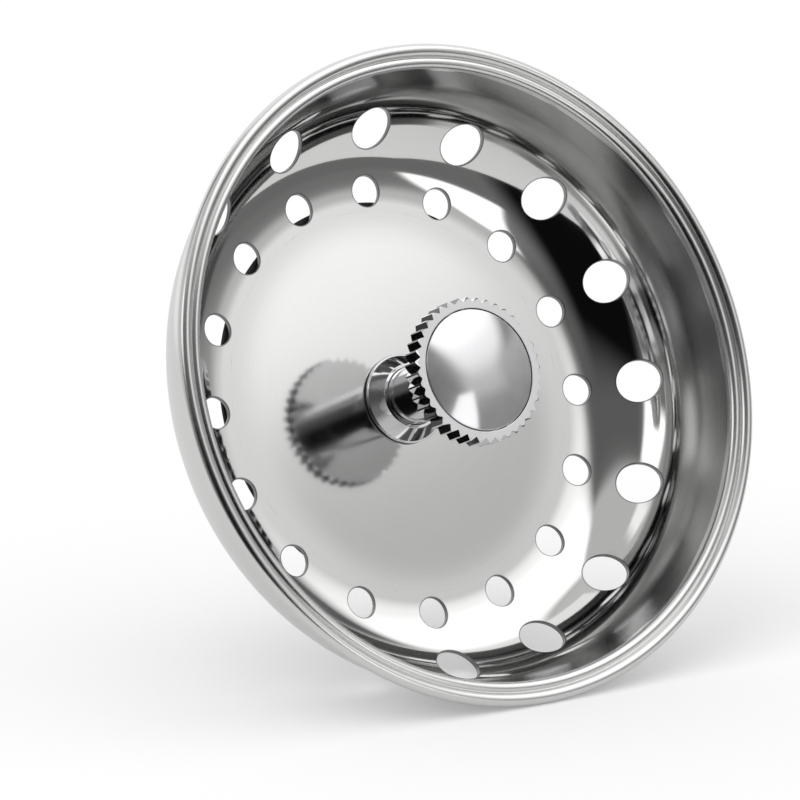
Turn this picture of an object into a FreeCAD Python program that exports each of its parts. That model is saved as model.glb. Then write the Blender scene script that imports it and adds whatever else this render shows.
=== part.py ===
import FreeCAD, Part
import math
import os
import re
import Sketcher

# Sink strainer: a pressed steel basket for a kitchen drain, with a rubber stopper under its floor that a
# knobbed stem pulls up and pushes down through a collar. Millimetres and degrees. +Z runs up the
# strainer's axis, and the origin is the centre of the stopper's flat underside. Threads are plain
# cylinders. Every piece is drawn where it sits with the stopper drawn up against the floor.

DRIVING = {
    # Basket: one stamping of thin sheet
    "sheet_thickness": 0.6,
    "rim_radius": 41.0,
    "rim_height": 16.8,
    "bead_radius": 0.85,
    "roll_radius": 0.75,
    "crease_share": 0.4,
    "rim_tilt": 11.7,
    "wall_lean": 0.348,
    "corner_radius": 12.5,
    "dome_radius": 290.0,
    "land_margin": 0.1,
    "hole_count": 16,
    "small_hole_radius": 1.93,
    "small_hole_step": 1.45,
    "large_hole_radius": 2.62,
    "large_hole_angle": 43.8,
    "large_punch_angle": 18.0,
    # Collar: the turned guide bush on the floor, with its seal, washer, nut and friction ring
    "collar_head_radius": 5.6,
    "collar_edge_height": 0.3,
    "collar_cone_height": 1.65,
    "collar_lip_width": 0.4,
    "collar_seal_thickness": 0.25,
    "collar_seal_inset": 0.1,
    "shank_wall": 1.15,
    "shank_stickout": 0.4,
    "lock_washer_thickness": 0.6,
    "lock_washer_width": 2.3,
    "lock_tooth_count": 12,
    "lock_tooth_gap": 0.9,
    "lock_tooth_depth": 0.8,
    "collar_nut_flats": 14.0,
    "collar_nut_height": 2.4,
    "friction_ring_section": 0.7,
    "friction_ring_room": 0.06,
    "friction_groove_height": 0.95,
    # Stopper: the rubber plug, its plate and the hub that the stem turns in
    "stopper_gap": 0.3,
    "lip_overhang": 0.3,
    "lip_thickness": 0.4,
    "lip_root_thickness": 1.5,
    "plug_wall": 7.50012,
    "plug_draft": 3.0,
    "plug_foot_round": 0.6,
    "rubber_clearance": 0.2,
    "plate_recess_share": 0.532,
    "backing_plate_thickness": 0.8,
    "hub_head_radius": 8.0,
    "hub_head_thickness": 1.0,
    "hub_wall": 1.95,
    "hub_length": 4.33,
    "hub_end_play": 0.05,
    "lift_gap": 0.4,
    "nut_recess_share": 0.195,
    # Stem and knob, and what fixes the one in the other
    "stem_radius": 3.6,
    "stem_clearance": 0.05,
    "stem_shoulder": 0.6,
    "stem_bevel_width": 0.3,
    "stem_thread_radius": 2.5,
    "stem_stickout": 0.5,
    "tip_clearance": 0.6,
    "fit_clearance": 0.05,
    "stem_washer_radius": 7.0,
    "stem_washer_thickness": 0.8,
    "spring_washer_width": 1.8,
    "spring_washer_thickness": 1.2,
    "spring_washer_angle": 345.0,
    "stem_nut_flats": 8.0,
    "stem_nut_height": 2.7,
    "nut_chamfer_angle": 30.0,
    "knob_underside": 15.6,
    "knob_thickness": 2.8,
    "knob_radius": 9.0,
    "knob_bevel_width": 0.2,
    "knurl_count": 40,
    "knurl_depth": 0.6,
    "knurl_width": 1.2,
    "knob_web": 1.5,
    "spigot_step": 0.6,
    "spigot_height": 0.8,
    "knob_land_width": 0.78,
    "cap_groove": 0.12,
    "cap_rise": 1.15,
    "cap_wall": 0.7,
    "screw_radius": 2.0,
    "screw_length": 8.0,
    "screw_hole_spare": 0.8,
    "screw_head_radius": 3.5,
    "screw_head_height": 1.15,
    "screw_socket_flats": 2.5,
    "screw_socket_depth": 0.75,
    # How far every cut runs past what it cuts
    "overrun": 1.0,
}

# Heights stack up from the stopper's underside to the knob; radii work out from the rim and the stem.
WORKED_OUT = {
    "journal_radius": "stem_radius - stem_shoulder",
    "collar_bore": "stem_radius + stem_clearance",
    "shank_radius": "collar_bore + shank_wall",
    "hub_bore": "journal_radius + stem_clearance",
    "hub_radius": "hub_bore + hub_wall",
    "stem_washer_bore": "stem_thread_radius + fit_clearance",
    "stem_nut_bottom": "tip_clearance + stem_stickout",
    "stem_nut_top": "stem_nut_bottom + stem_nut_height",
    "spring_washer_top": "stem_nut_top + spring_washer_thickness",
    "stem_washer_top": "spring_washer_top + stem_washer_thickness",
    "hub_bottom": "stem_washer_top + hub_end_play",
    "hub_top": "hub_bottom + hub_length",
    "hub_head_bottom": "hub_top - hub_head_thickness",
    "backing_plate_bottom": "hub_head_bottom - backing_plate_thickness",
    "shoulder_height": "hub_top + hub_end_play",
    "shank_bottom": "hub_top + lift_gap",
    "collar_nut_bottom": "shank_bottom + shank_stickout",
    "collar_nut_top": "collar_nut_bottom + collar_nut_height",
    "land_underside": "collar_nut_top + lock_washer_thickness",
    "land_radius": "collar_head_radius + land_margin",
    "lower_land_radius": "shank_radius + lock_washer_width + land_margin",
    "land_height": "land_underside + sqrt(dome_radius ^ 2 - land_radius ^ 2)"
                   " - sqrt((dome_radius - sheet_thickness) ^ 2 - lower_land_radius ^ 2)",
    "bead_ring": "rim_radius - bead_radius",
    "crease_rise": "crease_share * roll_radius",
    "roll_reach": "sqrt(roll_radius ^ 2 - crease_rise ^ 2)",
    "rim_reach": "roll_reach + sqrt(bead_radius ^ 2 - crease_rise ^ 2)",
    "roll_ring": "bead_ring - rim_reach * cos(rim_tilt)",
    "corner_ring": "roll_ring - roll_radius - wall_lean - corner_radius",
    "dome_slope": "asin(corner_ring / (dome_radius + corner_radius))",
    "dome_edge": "dome_radius * sin(dome_slope)",
    "dome_edge_rise": "corner_radius * (1 - cos(dome_slope))",
    "dome_rise": "sqrt(dome_radius ^ 2 - land_radius ^ 2) - dome_radius * cos(dome_slope)",
    "floor_level": "land_height - dome_rise - dome_edge_rise",
    "corner_centre": "floor_level + corner_radius",
    "bead_centre": "floor_level + rim_height",
    "roll_centre": "bead_centre - rim_reach * sin(rim_tilt)",
    "crease_ring": "roll_ring + roll_reach * cos(rim_tilt)",
    "crease_middle": "roll_centre + roll_reach * sin(rim_tilt)",
    "wall_reach": "sqrt((roll_ring - corner_ring) ^ 2 + (roll_centre - corner_centre) ^ 2)",
    "wall_slope": "atan2(roll_centre - corner_centre; roll_ring - corner_ring)"
                  " + asin((corner_radius + roll_radius) / wall_reach)",
    "outer_corner": "corner_radius + sheet_thickness",
    "roll_step": "roll_radius - sheet_thickness",
    "small_hole_ring": "corner_ring + small_hole_step",
    "large_hole_ring": "corner_ring + corner_radius * sin(large_hole_angle)",
    "large_hole_height": "corner_centre - corner_radius * cos(large_hole_angle)",
    "collar_bottom": "land_height + collar_seal_thickness",
    "collar_cone_bottom": "collar_bottom + collar_edge_height",
    "collar_top": "collar_cone_bottom + collar_cone_height",
    "friction_ring_radius": "stem_radius + friction_ring_room + friction_ring_section / 2",
    "friction_groove_radius": "stem_radius + 2 * friction_ring_room + friction_ring_section",
    "friction_ring_height": "collar_bottom + (collar_edge_height + friction_groove_height) / 2",
    "stopper_top": "floor_level - sheet_thickness - stopper_gap",
    "lip_radius": "corner_ring + lip_overhang",
    "plug_radius": "hub_head_radius + plug_wall",
    "foot_radius": "plug_radius - plug_draft",
    "plate_recess_radius": "hub_radius + plate_recess_share * (plug_radius - hub_radius)",
    "backing_plate_radius": "plate_recess_radius - rubber_clearance",
    "nut_recess_radius": "stem_washer_radius + nut_recess_share * (foot_radius - stem_washer_radius)",
    "recess_ceiling": "hub_bottom + rubber_clearance",
    "knob_bottom": "floor_level + knob_underside",
    "knob_top": "knob_bottom + knob_thickness",
    "knob_floor": "knob_bottom + knob_web",
    "spigot_radius": "stem_radius - spigot_step",
    "cap_radius": "knob_radius - knurl_depth - knob_land_width - cap_groove",
    "cap_ball_radius": "(cap_radius ^ 2 + cap_rise ^ 2) / (2 * cap_rise)",
    "cap_top": "knob_top + cap_rise",
    "cap_ball_centre": "cap_top - cap_ball_radius",
    "cap_room": "cap_radius - cap_wall",
    "cap_ceiling": "cap_ball_centre + sqrt((cap_ball_radius - cap_wall) ^ 2 - cap_room ^ 2)",
    "screw_hole": "screw_radius + fit_clearance",
    "screw_tip": "knob_floor - screw_length",
    "screw_hole_bottom": "screw_tip - screw_hole_spare",
    "screw_head_top": "knob_floor + screw_head_height",
}

SIZE_NAMES = {*DRIVING, *WORKED_OUT}

doc = FreeCAD.newDocument("sink_strainer")
sizes = doc.addObject("Spreadsheet::Sheet", "Sizes")
cells = list(DRIVING.items()) + [(name, "=" + formula) for name, formula in WORKED_OUT.items()]
for row, (name, content) in enumerate(cells, start=1):
    sizes.set(f"A{row}", name)
    sizes.set(f"B{row}", str(content))
    sizes.setAlias(f"B{row}", name)
doc.recompute()


def bound(formula):
    """A formula in the sheet's names, written as another object has to refer to them."""
    return re.sub(r"[a-z_]+", lambda word: "Sizes." * (word[0] in SIZE_NAMES) + word[0], formula)


def number(formula):
    """What a formula in the sheet's names comes to now."""
    return float(sizes.evalExpression(formula))


def origin_feature(body, role):
    return next(feature for feature in body.Origin.OriginFeatures if feature.Role == role)


def new_body(label):
    body = doc.addObject("PartDesign::Body", label)
    body.Label = label
    return body


def new_sketch(body, name, plane):
    sketch = body.newObject("Sketcher::SketchObject", name)
    sketch.AttachmentSupport = [(plane, "")]
    sketch.MapMode = "FlatFace"
    return sketch


def pin_down(sketch, edge, end, place):
    """Hold one end of an edge at a place given by two formulas."""
    for formula, kind, zero_axis in ((place[0], "DistanceX", -2), (place[1], "DistanceY", -1)):
        if formula == "0":
            sketch.addConstraint(Sketcher.Constraint("PointOnObject", edge, end, zero_axis))
            continue
        held = sketch.addConstraint(Sketcher.Constraint(kind, -1, 1, edge, end, number(formula)))
        sketch.setExpression(f"Constraints[{held}]", bound(formula))


def arc_between(start, finish, radius, turn):
    """The short arc from start to finish that turns left or right, and which of its ends is the start."""
    chord = finish - start
    left = FreeCAD.Vector(-chord.y, chord.x, 0).normalize()
    side = left if turn == "left" else -left
    centre = (start + finish) / 2 + side * math.sqrt(radius ** 2 - (chord.Length / 2) ** 2)
    first, last = (start, finish) if turn == "left" else (finish, start)
    angles = [math.atan2(point.y - centre.y, point.x - centre.x) for point in (first, last)]
    circle = Part.Circle(centre, FreeCAD.Vector(0, 0, 1), radius)
    return Part.ArcOfCircle(circle, *angles), (1, 2) if turn == "left" else (2, 1)


def draw_outline(sketch, outline):
    """Close an outline of (across, up) places; (across, up, radius, turn) starts an arc to the next."""
    points = [FreeCAD.Vector(number(place[0]), number(place[1]), 0) for place in outline]
    edges = []
    for place, start, finish in zip(outline, points, points[1:] + points[:1]):
        ends = (1, 2)
        shape = None
        if len(place) > 2:
            shape, ends = arc_between(start, finish, number(place[2]), place[3])
        edges.append((sketch.addGeometry(shape or Part.LineSegment(start, finish)), ends))
    for (edge, ends), (following, following_ends) in zip(edges, edges[1:] + edges[:1]):
        sketch.addConstraint(
            Sketcher.Constraint("Coincident", edge, ends[1], following, following_ends[0]))
    for place, (edge, ends) in zip(outline, edges):
        pin_down(sketch, edge, ends[0], place)
        if len(place) > 2:
            held = sketch.addConstraint(Sketcher.Constraint("Radius", edge, number(place[2])))
            sketch.setExpression(f"Constraints[{held}]", bound(place[2]))


def draw_circle(sketch, across, up, radius):
    circle = Part.Circle(
        FreeCAD.Vector(number(across), number(up), 0), FreeCAD.Vector(0, 0, 1), number(radius))
    edge = sketch.addGeometry(circle)
    pin_down(sketch, edge, 3, (across, up))
    held = sketch.addConstraint(Sketcher.Constraint("Radius", edge, number(radius)))
    sketch.setExpression(f"Constraints[{held}]", bound(radius))


def revolve(body, name, outline, feature="Revolution", turn=None):
    """Turn an outline of (radius, height) places about the strainer's axis."""
    sketch = new_sketch(body, name + "_profile", origin_feature(body, "XZ_Plane"))
    draw_outline(sketch, outline)
    turned = body.newObject("PartDesign::" + feature, name)
    turned.Profile = sketch
    turned.ReferenceAxis = (sketch, ["V_Axis"])
    if turn:
        turned.setExpression("Angle", bound(turn))
    doc.recompute()
    return turned


def repeat_round(body, feature, count):
    """Copy a cut evenly round the strainer's axis."""
    pattern = body.newObject("PartDesign::PolarPattern", feature.Name + "_ring")
    pattern.Originals = [feature]
    pattern.Axis = (origin_feature(body, "Z_Axis"), [""])
    pattern.setExpression("Occurrences", bound(count))
    body.Tip = pattern
    doc.recompute()
    return pattern


def cut_through(body, name, sketch, depth):
    """Cut a sketch's shape half of a depth to each side of its plane."""
    pocket = body.newObject("PartDesign::Pocket", name)
    pocket.Profile = sketch
    pocket.SideType = "Symmetric"
    pocket.setExpression("Length", bound(depth))
    doc.recompute()
    return pocket


def level_plane(body, name, height):
    """A level plane of the body's own, at a height."""
    plane = body.newObject("PartDesign::Plane", name)
    plane.AttachmentSupport = [(origin_feature(body, "XY_Plane"), "")]
    plane.MapMode = "FlatFace"
    plane.setExpression("AttachmentOffset.Base.z", bound(height))
    doc.recompute()
    return plane


def ring_outline(inner, outer, bottom, top):
    return [(inner, bottom), (outer, bottom), (outer, top), (inner, top)]


def hexagon(flats):
    """The six corners of a hexagon by its size across flats."""
    corner = f"{flats} / sqrt(3)"
    half_side = f"{flats} / sqrt(3) / 2"
    half_flats = f"{flats} / 2"
    return [(corner, "0"), (half_side, half_flats), ("-" + half_side, half_flats),
            ("-" + corner, "0"), ("-" + half_side, "-" + half_flats), (half_side, "-" + half_flats)]


def basket_shell():
    """The pressed basket: land, domed floor, round corner, wall and rolled, beaded rim, pierced twice."""
    body = new_body("basket_shell")
    across = "sin(wall_slope)"
    up = "cos(wall_slope)"
    floor_hole = "shank_radius + fit_clearance"
    revolve(body, "stamping", [
        (floor_hole, "land_height"),
        ("land_radius", "land_height", "dome_radius", "right"),
        ("dome_edge", "floor_level + dome_edge_rise", "corner_radius", "left"),
        (f"corner_ring + corner_radius * {across}", f"corner_centre - corner_radius * {up}"),
        (f"roll_ring - roll_radius * {across}", f"roll_centre + roll_radius * {up}",
         "roll_radius", "right"),
        ("crease_ring - crease_rise * sin(rim_tilt)", "crease_middle + crease_rise * cos(rim_tilt)",
         "bead_radius", "right"),
        ("rim_radius", "bead_centre", "bead_radius", "right"),
        ("crease_ring + crease_rise * sin(rim_tilt)", "crease_middle - crease_rise * cos(rim_tilt)"),
        (f"roll_ring - roll_step * {across}", f"roll_centre + roll_step * {up}"),
        (f"corner_ring + outer_corner * {across}", f"corner_centre - outer_corner * {up}",
         "outer_corner", "right"),
        ("corner_ring - outer_corner * sin(dome_slope)",
         "corner_centre - outer_corner * cos(dome_slope)", "dome_radius - sheet_thickness", "left"),
        ("lower_land_radius", "land_underside"),
        (floor_hole, "land_underside"),
    ])
    small = new_sketch(body, "small_hole", level_plane(body, "small_hole_plane", "floor_level"))
    draw_circle(small, "small_hole_ring", "0", "small_hole_radius")
    repeat_round(body, cut_through(body, "small_holes", small, "corner_radius"), "hole_count")

    tilted = body.newObject("PartDesign::Plane", "large_hole_plane")
    tilted.AttachmentSupport = [(origin_feature(body, "XY_Plane"), "")]
    tilted.MapMode = "FlatFace"
    tilted.setExpression("AttachmentOffset.Base.x", bound("large_hole_ring"))
    tilted.setExpression("AttachmentOffset.Base.z", bound("large_hole_height"))
    tilted.setExpression("AttachmentOffset.Rotation.Axis.x", "0")
    tilted.setExpression("AttachmentOffset.Rotation.Axis.y", "1")
    tilted.setExpression("AttachmentOffset.Rotation.Axis.z", "0")
    tilted.setExpression("AttachmentOffset.Rotation.Angle", bound("-1 * large_punch_angle"))
    doc.recompute()
    large = new_sketch(body, "large_hole", tilted)
    draw_circle(large, "0", "0", "large_hole_radius")
    repeat_round(body, cut_through(body, "large_holes", large, "corner_radius"), "hole_count")
    return body


def collar():
    """The guide bush: conical head with a groove for the friction ring, and a shank through the floor."""
    body = new_body("collar")
    groove_bottom = "friction_ring_height - friction_groove_height / 2"
    groove_top = "friction_ring_height + friction_groove_height / 2"
    revolve(body, "bush", [
        ("collar_bore", "shank_bottom"),
        ("shank_radius", "shank_bottom"),
        ("shank_radius", "collar_bottom"),
        ("collar_head_radius", "collar_bottom"),
        ("collar_head_radius", "collar_cone_bottom"),
        ("collar_bore + collar_lip_width", "collar_top"),
        ("collar_bore", "collar_top"),
        ("collar_bore", groove_top),
        ("friction_groove_radius", groove_top),
        ("friction_groove_radius", groove_bottom),
        ("collar_bore", groove_bottom),
    ])
    return body


def collar_lock_washer():
    """A flat washer with teeth round its edge, between the floor and the collar's nut."""
    body = new_body("collar_lock_washer")
    bore = "shank_radius + fit_clearance"
    edge = "shank_radius + lock_washer_width"
    revolve(body, "disc", ring_outline(bore, edge, "collar_nut_top", "land_underside"))
    gap = new_sketch(body, "tooth_gap", level_plane(body, "tooth_plane", "collar_nut_top"))
    draw_outline(gap, [
        (f"{edge} - lock_tooth_depth", "-1 * lock_tooth_gap / 2"),
        (f"{edge} + overrun", "-1 * lock_tooth_gap / 2"),
        (f"{edge} + overrun", "lock_tooth_gap / 2"),
        (f"{edge} - lock_tooth_depth", "lock_tooth_gap / 2"),
    ])
    gaps = cut_through(body, "tooth_gaps", gap, "2 * lock_washer_thickness + overrun")
    repeat_round(body, gaps, "lock_tooth_count")
    return body


def hexagon_nut(label, flats, bore, bottom, top):
    """A thin hexagon nut with its corners chamfered on both faces."""
    body = new_body(label)
    sketch = new_sketch(body, "hexagon", level_plane(body, "seat", bottom))
    draw_outline(sketch, hexagon(flats))
    pad = body.newObject("PartDesign::Pad", "prism")
    pad.Profile = sketch
    pad.setExpression("Length", bound(f"{top} - {bottom}"))
    doc.recompute()
    corner = f"{flats} / sqrt(3)"
    outside = f"{corner} + overrun"
    outside_drop = f"( {corner} - {flats} / 2 + overrun ) * tan(nut_chamfer_angle)"
    for name, face, away in (("upper", top, "-"), ("lower", bottom, "+")):
        clear = "+" if away == "-" else "-"
        revolve(body, name + "_chamfer", [
            (f"{flats} / 2", face),
            (outside, f"{face} {away} {outside_drop}"),
            (outside, f"{face} {clear} overrun"),
            (f"{flats} / 2", f"{face} {clear} overrun"),
        ], "Groove")
    hole = new_sketch(body, "bore", origin_feature(body, "XY_Plane"))
    draw_circle(hole, "0", "0", bore)
    cut_through(body, "thread", hole, f"2 * {top} + overrun")
    return body


def friction_ring():
    """The rubber ring that grips the stem inside the collar's head."""
    body = new_body("friction_ring")
    sketch = new_sketch(body, "section", origin_feature(body, "XZ_Plane"))
    draw_circle(sketch, "friction_ring_radius", "friction_ring_height", "friction_ring_section / 2")
    ring = body.newObject("PartDesign::Revolution", "ring")
    ring.Profile = sketch
    ring.ReferenceAxis = (sketch, ["V_Axis"])
    doc.recompute()
    return body


def rubber_stopper():
    """The plug: drafted sides, a wide thin lip, and recesses above and below for plate, hub and nut."""
    body = new_body("rubber_stopper")
    revolve(body, "plug", [
        ("nut_recess_radius", "0"),
        ("foot_radius", "0", "plug_foot_round", "left"),
        ("foot_radius + plug_foot_round", "plug_foot_round"),
        ("plug_radius", "stopper_top - lip_root_thickness"),
        ("lip_radius", "stopper_top - lip_thickness"),
        ("lip_radius", "stopper_top"),
        ("plate_recess_radius", "stopper_top"),
        ("plate_recess_radius", "backing_plate_bottom"),
        ("hub_radius", "backing_plate_bottom"),
        ("hub_radius", "recess_ceiling"),
        ("nut_recess_radius", "recess_ceiling"),
    ])
    return body


def stopper_hub():
    """The flanged bush, held in the rubber, that the stem's journal turns in."""
    body = new_body("stopper_hub")
    revolve(body, "bush", [
        ("hub_bore", "hub_bottom"),
        ("hub_radius", "hub_bottom"),
        ("hub_radius", "hub_head_bottom"),
        ("hub_head_radius", "hub_head_bottom"),
        ("hub_head_radius", "hub_top"),
        ("hub_bore", "hub_top"),
    ])
    return body


def plain_ring(label, inner, outer, bottom, top, turn=None):
    """A flat ring, whole or split."""
    body = new_body(label)
    revolve(body, "ring", ring_outline(inner, outer, bottom, top), turn=turn)
    return body


def stem():
    """The turned rod: threaded end, journal, shoulder, polished neck, spigot and tapped hole."""
    body = new_body("stem")
    revolve(body, "rod", [
        ("0", "tip_clearance"),
        ("stem_thread_radius - stem_bevel_width", "tip_clearance"),
        ("stem_thread_radius", "tip_clearance + stem_bevel_width"),
        ("stem_thread_radius", "stem_washer_top"),
        ("journal_radius", "stem_washer_top"),
        ("journal_radius", "shoulder_height"),
        ("stem_radius", "shoulder_height"),
        ("stem_radius", "knob_bottom"),
        ("spigot_radius", "knob_bottom"),
        ("spigot_radius", "knob_bottom + spigot_height"),
        ("screw_hole", "knob_bottom + spigot_height"),
        ("screw_hole", "screw_hole_bottom"),
        ("0", "screw_hole_bottom - screw_hole"),
    ])
    return body


def knob():
    """The knurled disc, bored for the spigot and screw and counterbored for its cap."""
    body = new_body("knob")
    spigot_hole = "spigot_radius + fit_clearance"
    spigot_end = "knob_bottom + spigot_height + fit_clearance"
    revolve(body, "disc", [
        (spigot_hole, "knob_bottom"),
        ("knob_radius - knob_bevel_width", "knob_bottom"),
        ("knob_radius", "knob_bottom + knob_bevel_width"),
        ("knob_radius", "knob_top - knob_bevel_width"),
        ("knob_radius - knob_bevel_width", "knob_top"),
        ("cap_radius + cap_groove", "knob_top"),
        ("cap_radius + cap_groove", "knob_floor"),
        ("screw_hole", "knob_floor"),
        ("screw_hole", spigot_end),
        (spigot_hole, spigot_end),
    ])
    notch = new_sketch(body, "notch", level_plane(body, "notch_plane", "knob_bottom"))
    spread = "knurl_width / 2 * (knurl_depth + overrun) / knurl_depth"
    draw_outline(notch, [
        ("knob_radius - knurl_depth", "0"),
        ("knob_radius + overrun", "-1 * " + spread),
        ("knob_radius + overrun", spread),
    ])
    notches = cut_through(body, "knurl", notch, "2 * knob_thickness + overrun")
    repeat_round(body, notches, "knurl_count")
    return body


def knob_cap():
    """The polished dome, hollow over the screw's head, pressed into the knob's counterbore."""
    body = new_body("knob_cap")
    revolve(body, "dome", [
        ("cap_room", "knob_floor"),
        ("cap_radius", "knob_floor"),
        ("cap_radius", "knob_top", "cap_ball_radius", "left"),
        ("0", "cap_top"),
        ("0", "cap_top - cap_wall", "cap_ball_radius - cap_wall", "right"),
        ("cap_room", "cap_ceiling"),
    ])
    return body


def knob_screw():
    """The socket screw that holds the knob on the stem, under the cap."""
    body = new_body("knob_screw")
    revolve(body, "screw", [
        ("0", "screw_tip"),
        ("screw_radius", "screw_tip"),
        ("screw_radius", "knob_floor"),
        ("screw_head_radius", "knob_floor"),
        ("screw_head_radius", "screw_head_top"),
        ("0", "screw_head_top"),
    ])
    socket = new_sketch(body, "socket", level_plane(body, "head_plane", "screw_head_top"))
    draw_outline(socket, hexagon("screw_socket_flats"))
    cut_through(body, "drive", socket, "2 * screw_socket_depth")
    return body


washer_edge = "stem_thread_radius + fit_clearance + spring_washer_width"
pieces = [
    basket_shell(),
    plain_ring("collar_seal", "shank_radius + fit_clearance", "collar_head_radius - collar_seal_inset",
               "land_height", "collar_bottom"),
    collar(),
    collar_lock_washer(),
    hexagon_nut("collar_nut", "collar_nut_flats", "shank_radius + fit_clearance",
                "collar_nut_bottom", "collar_nut_top"),
    friction_ring(),
    rubber_stopper(),
    stopper_hub(),
    plain_ring("backing_plate", "hub_radius + fit_clearance", "backing_plate_radius",
               "backing_plate_bottom", "hub_head_bottom"),
    stem(),
    knob(),
    knob_cap(),
    knob_screw(),
    plain_ring("stem_washer", "stem_washer_bore", "stem_washer_radius",
               "spring_washer_top", "stem_washer_top"),
    plain_ring("spring_washer", "stem_washer_bore", washer_edge,
               "stem_nut_top", "spring_washer_top", "spring_washer_angle"),
    hexagon_nut("stem_nut", "stem_nut_flats", "stem_thread_radius + fit_clearance",
                "stem_nut_bottom", "stem_nut_top"),
]
doc.recompute()

for item in doc.Objects:
    if "Invalid" in item.State or "Error" in item.State:
        raise RuntimeError(f"{item.Label} failed: {item.State}")
for piece in pieces:
    if piece.Shape.isNull() or not piece.Shape.isValid() or len(piece.Shape.Solids) != 1:
        raise RuntimeError(f"{piece.Label} is not one sound solid")

os.makedirs("parts", exist_ok=True)
for piece in pieces:
    piece.Shape.exportStep(f"parts/{piece.Label}.step")
    print(f"{piece.Label}: {piece.Shape.Volume:.2f} cubic millimetres")
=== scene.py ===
import math

import bpy
import numpy as np
from mathutils import Matrix, Vector


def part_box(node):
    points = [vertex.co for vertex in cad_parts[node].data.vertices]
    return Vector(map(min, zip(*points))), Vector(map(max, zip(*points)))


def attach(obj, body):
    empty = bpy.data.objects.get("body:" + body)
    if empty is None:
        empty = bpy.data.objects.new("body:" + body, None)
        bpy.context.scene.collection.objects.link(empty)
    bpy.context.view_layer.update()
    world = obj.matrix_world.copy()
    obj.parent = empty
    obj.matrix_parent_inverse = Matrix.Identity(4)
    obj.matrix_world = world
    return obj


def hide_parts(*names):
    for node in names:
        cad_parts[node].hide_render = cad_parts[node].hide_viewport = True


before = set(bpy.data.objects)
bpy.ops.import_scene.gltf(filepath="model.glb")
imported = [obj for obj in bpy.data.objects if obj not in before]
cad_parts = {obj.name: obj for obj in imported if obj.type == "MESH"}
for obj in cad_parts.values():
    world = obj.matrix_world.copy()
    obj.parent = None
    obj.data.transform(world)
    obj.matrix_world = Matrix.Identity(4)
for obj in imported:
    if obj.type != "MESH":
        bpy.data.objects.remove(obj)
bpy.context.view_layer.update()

scene = bpy.context.scene

# Pressed basket: one stamping of thin stainless sheet with a domed floor, a round corner, an upright wall
# and a rolled rim that ends in a bead, punched with small holes in the floor's edge and larger ones in the
# corner. Its floor and corner are polished, its rim is duller, and the inside of its wall is left satin,
# with painted shade darkening its colour there. A dark ring of painted shade lies round each hole.
_, shell_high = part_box("basket_shell")
sheet = 0.0006
bead_radius = 0.00085
roll_radius = 0.00075
crease_rise = 0.0003
crease_round = 0.0001
rim_tilt = math.radians(11.7)
rim_height = 0.0168
wall_lean = 0.000348
corner_radius = 0.0125
dome_radius = 0.29
land_radius = 0.0057
lower_land = 0.0072
floor_hole = 0.00485
hole_count = 16
columns = 16

bead_ring = shell_high.x - bead_radius
bead_height = shell_high.z - bead_radius
rim_reach = math.sqrt(roll_radius ** 2 - crease_rise ** 2) + math.sqrt(bead_radius ** 2 - crease_rise ** 2)
roll_ring = bead_ring - rim_reach * math.cos(rim_tilt)
roll_height = bead_height - rim_reach * math.sin(rim_tilt)
floor_level = bead_height - rim_height
corner_ring = roll_ring - roll_radius - wall_lean - corner_radius
corner_height = floor_level + corner_radius
dome_slope = math.asin(corner_ring / (dome_radius + corner_radius))
dome_height = corner_height - (dome_radius + corner_radius) * math.cos(dome_slope)
land_height = dome_height + math.sqrt(dome_radius ** 2 - land_radius ** 2)
wall_slope = (math.atan2(roll_height - corner_height, roll_ring - corner_ring)
              + math.asin((corner_radius + roll_radius)
                          / math.hypot(roll_ring - corner_ring, roll_height - corner_height)))


def straight(start, finish):
    """A straight run of an outline, as (radius, height) places with the way they face: right of the run."""
    run = (Vector(finish) - Vector(start)).normalized()
    return [(*start, run.y, -run.x), (*finish, run.y, -run.x)]


def bend(centre, radius, start, finish, steps, facing=1):
    """A round run of an outline between two angles; it faces away from its centre, or towards it."""
    run = []
    for angle in np.linspace(start, finish, steps + 1):
        across, up = math.cos(angle), math.sin(angle)
        run.append((centre[0] + radius * across, centre[1] + radius * up, facing * across, facing * up))
    return run


def turned(outline, angles):
    """A patch of a turned surface: places (radius, turn, height) with the way they face, row by row."""
    return [[(radius, angle, height, outward, 0, upward) for angle in angles]
            for radius, height, outward, upward in outline]


def slice_mesh(name, patches):
    """One slice of a round piece: patches of square cells that face out, with their exact facing kept."""
    places, facings, cells = [], [], []
    for patch in patches:
        width = len(patch[0])
        first = len(places)
        for row in patch:
            for radius, turn, height, outward, sideways, upward in row:
                places.append(Vector((radius * math.cos(turn), radius * math.sin(turn), height)))
                facings.append((outward, sideways, upward))
        for row in range(len(patch) - 1):
            for column in range(width - 1):
                corner = first + row * width + column
                cell = [corner, corner + 1, corner + width + 1, corner + width]
                opposite = patch[row + 1][column + 1]
                _, turn, _, outward, sideways, upward = np.add(patch[row][column], opposite) / 2
                faces = Vector((outward * math.cos(turn) - sideways * math.sin(turn),
                                outward * math.sin(turn) + sideways * math.cos(turn), upward))
                lies = (places[cell[2]] - places[cell[0]]).cross(places[cell[3]] - places[cell[1]])
                cells.append(cell if lies.dot(faces) > 0 else cell[::-1])
    mesh = bpy.data.meshes.new(name)
    mesh.from_pydata(places, [], cells)
    corner_facings = [facings[corner] for cell in cells for corner in cell]
    kept = mesh.attributes.new("facing", "FLOAT_VECTOR", "CORNER")
    kept.data.foreach_set("vector", np.ravel(corner_facings))
    return mesh


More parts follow.
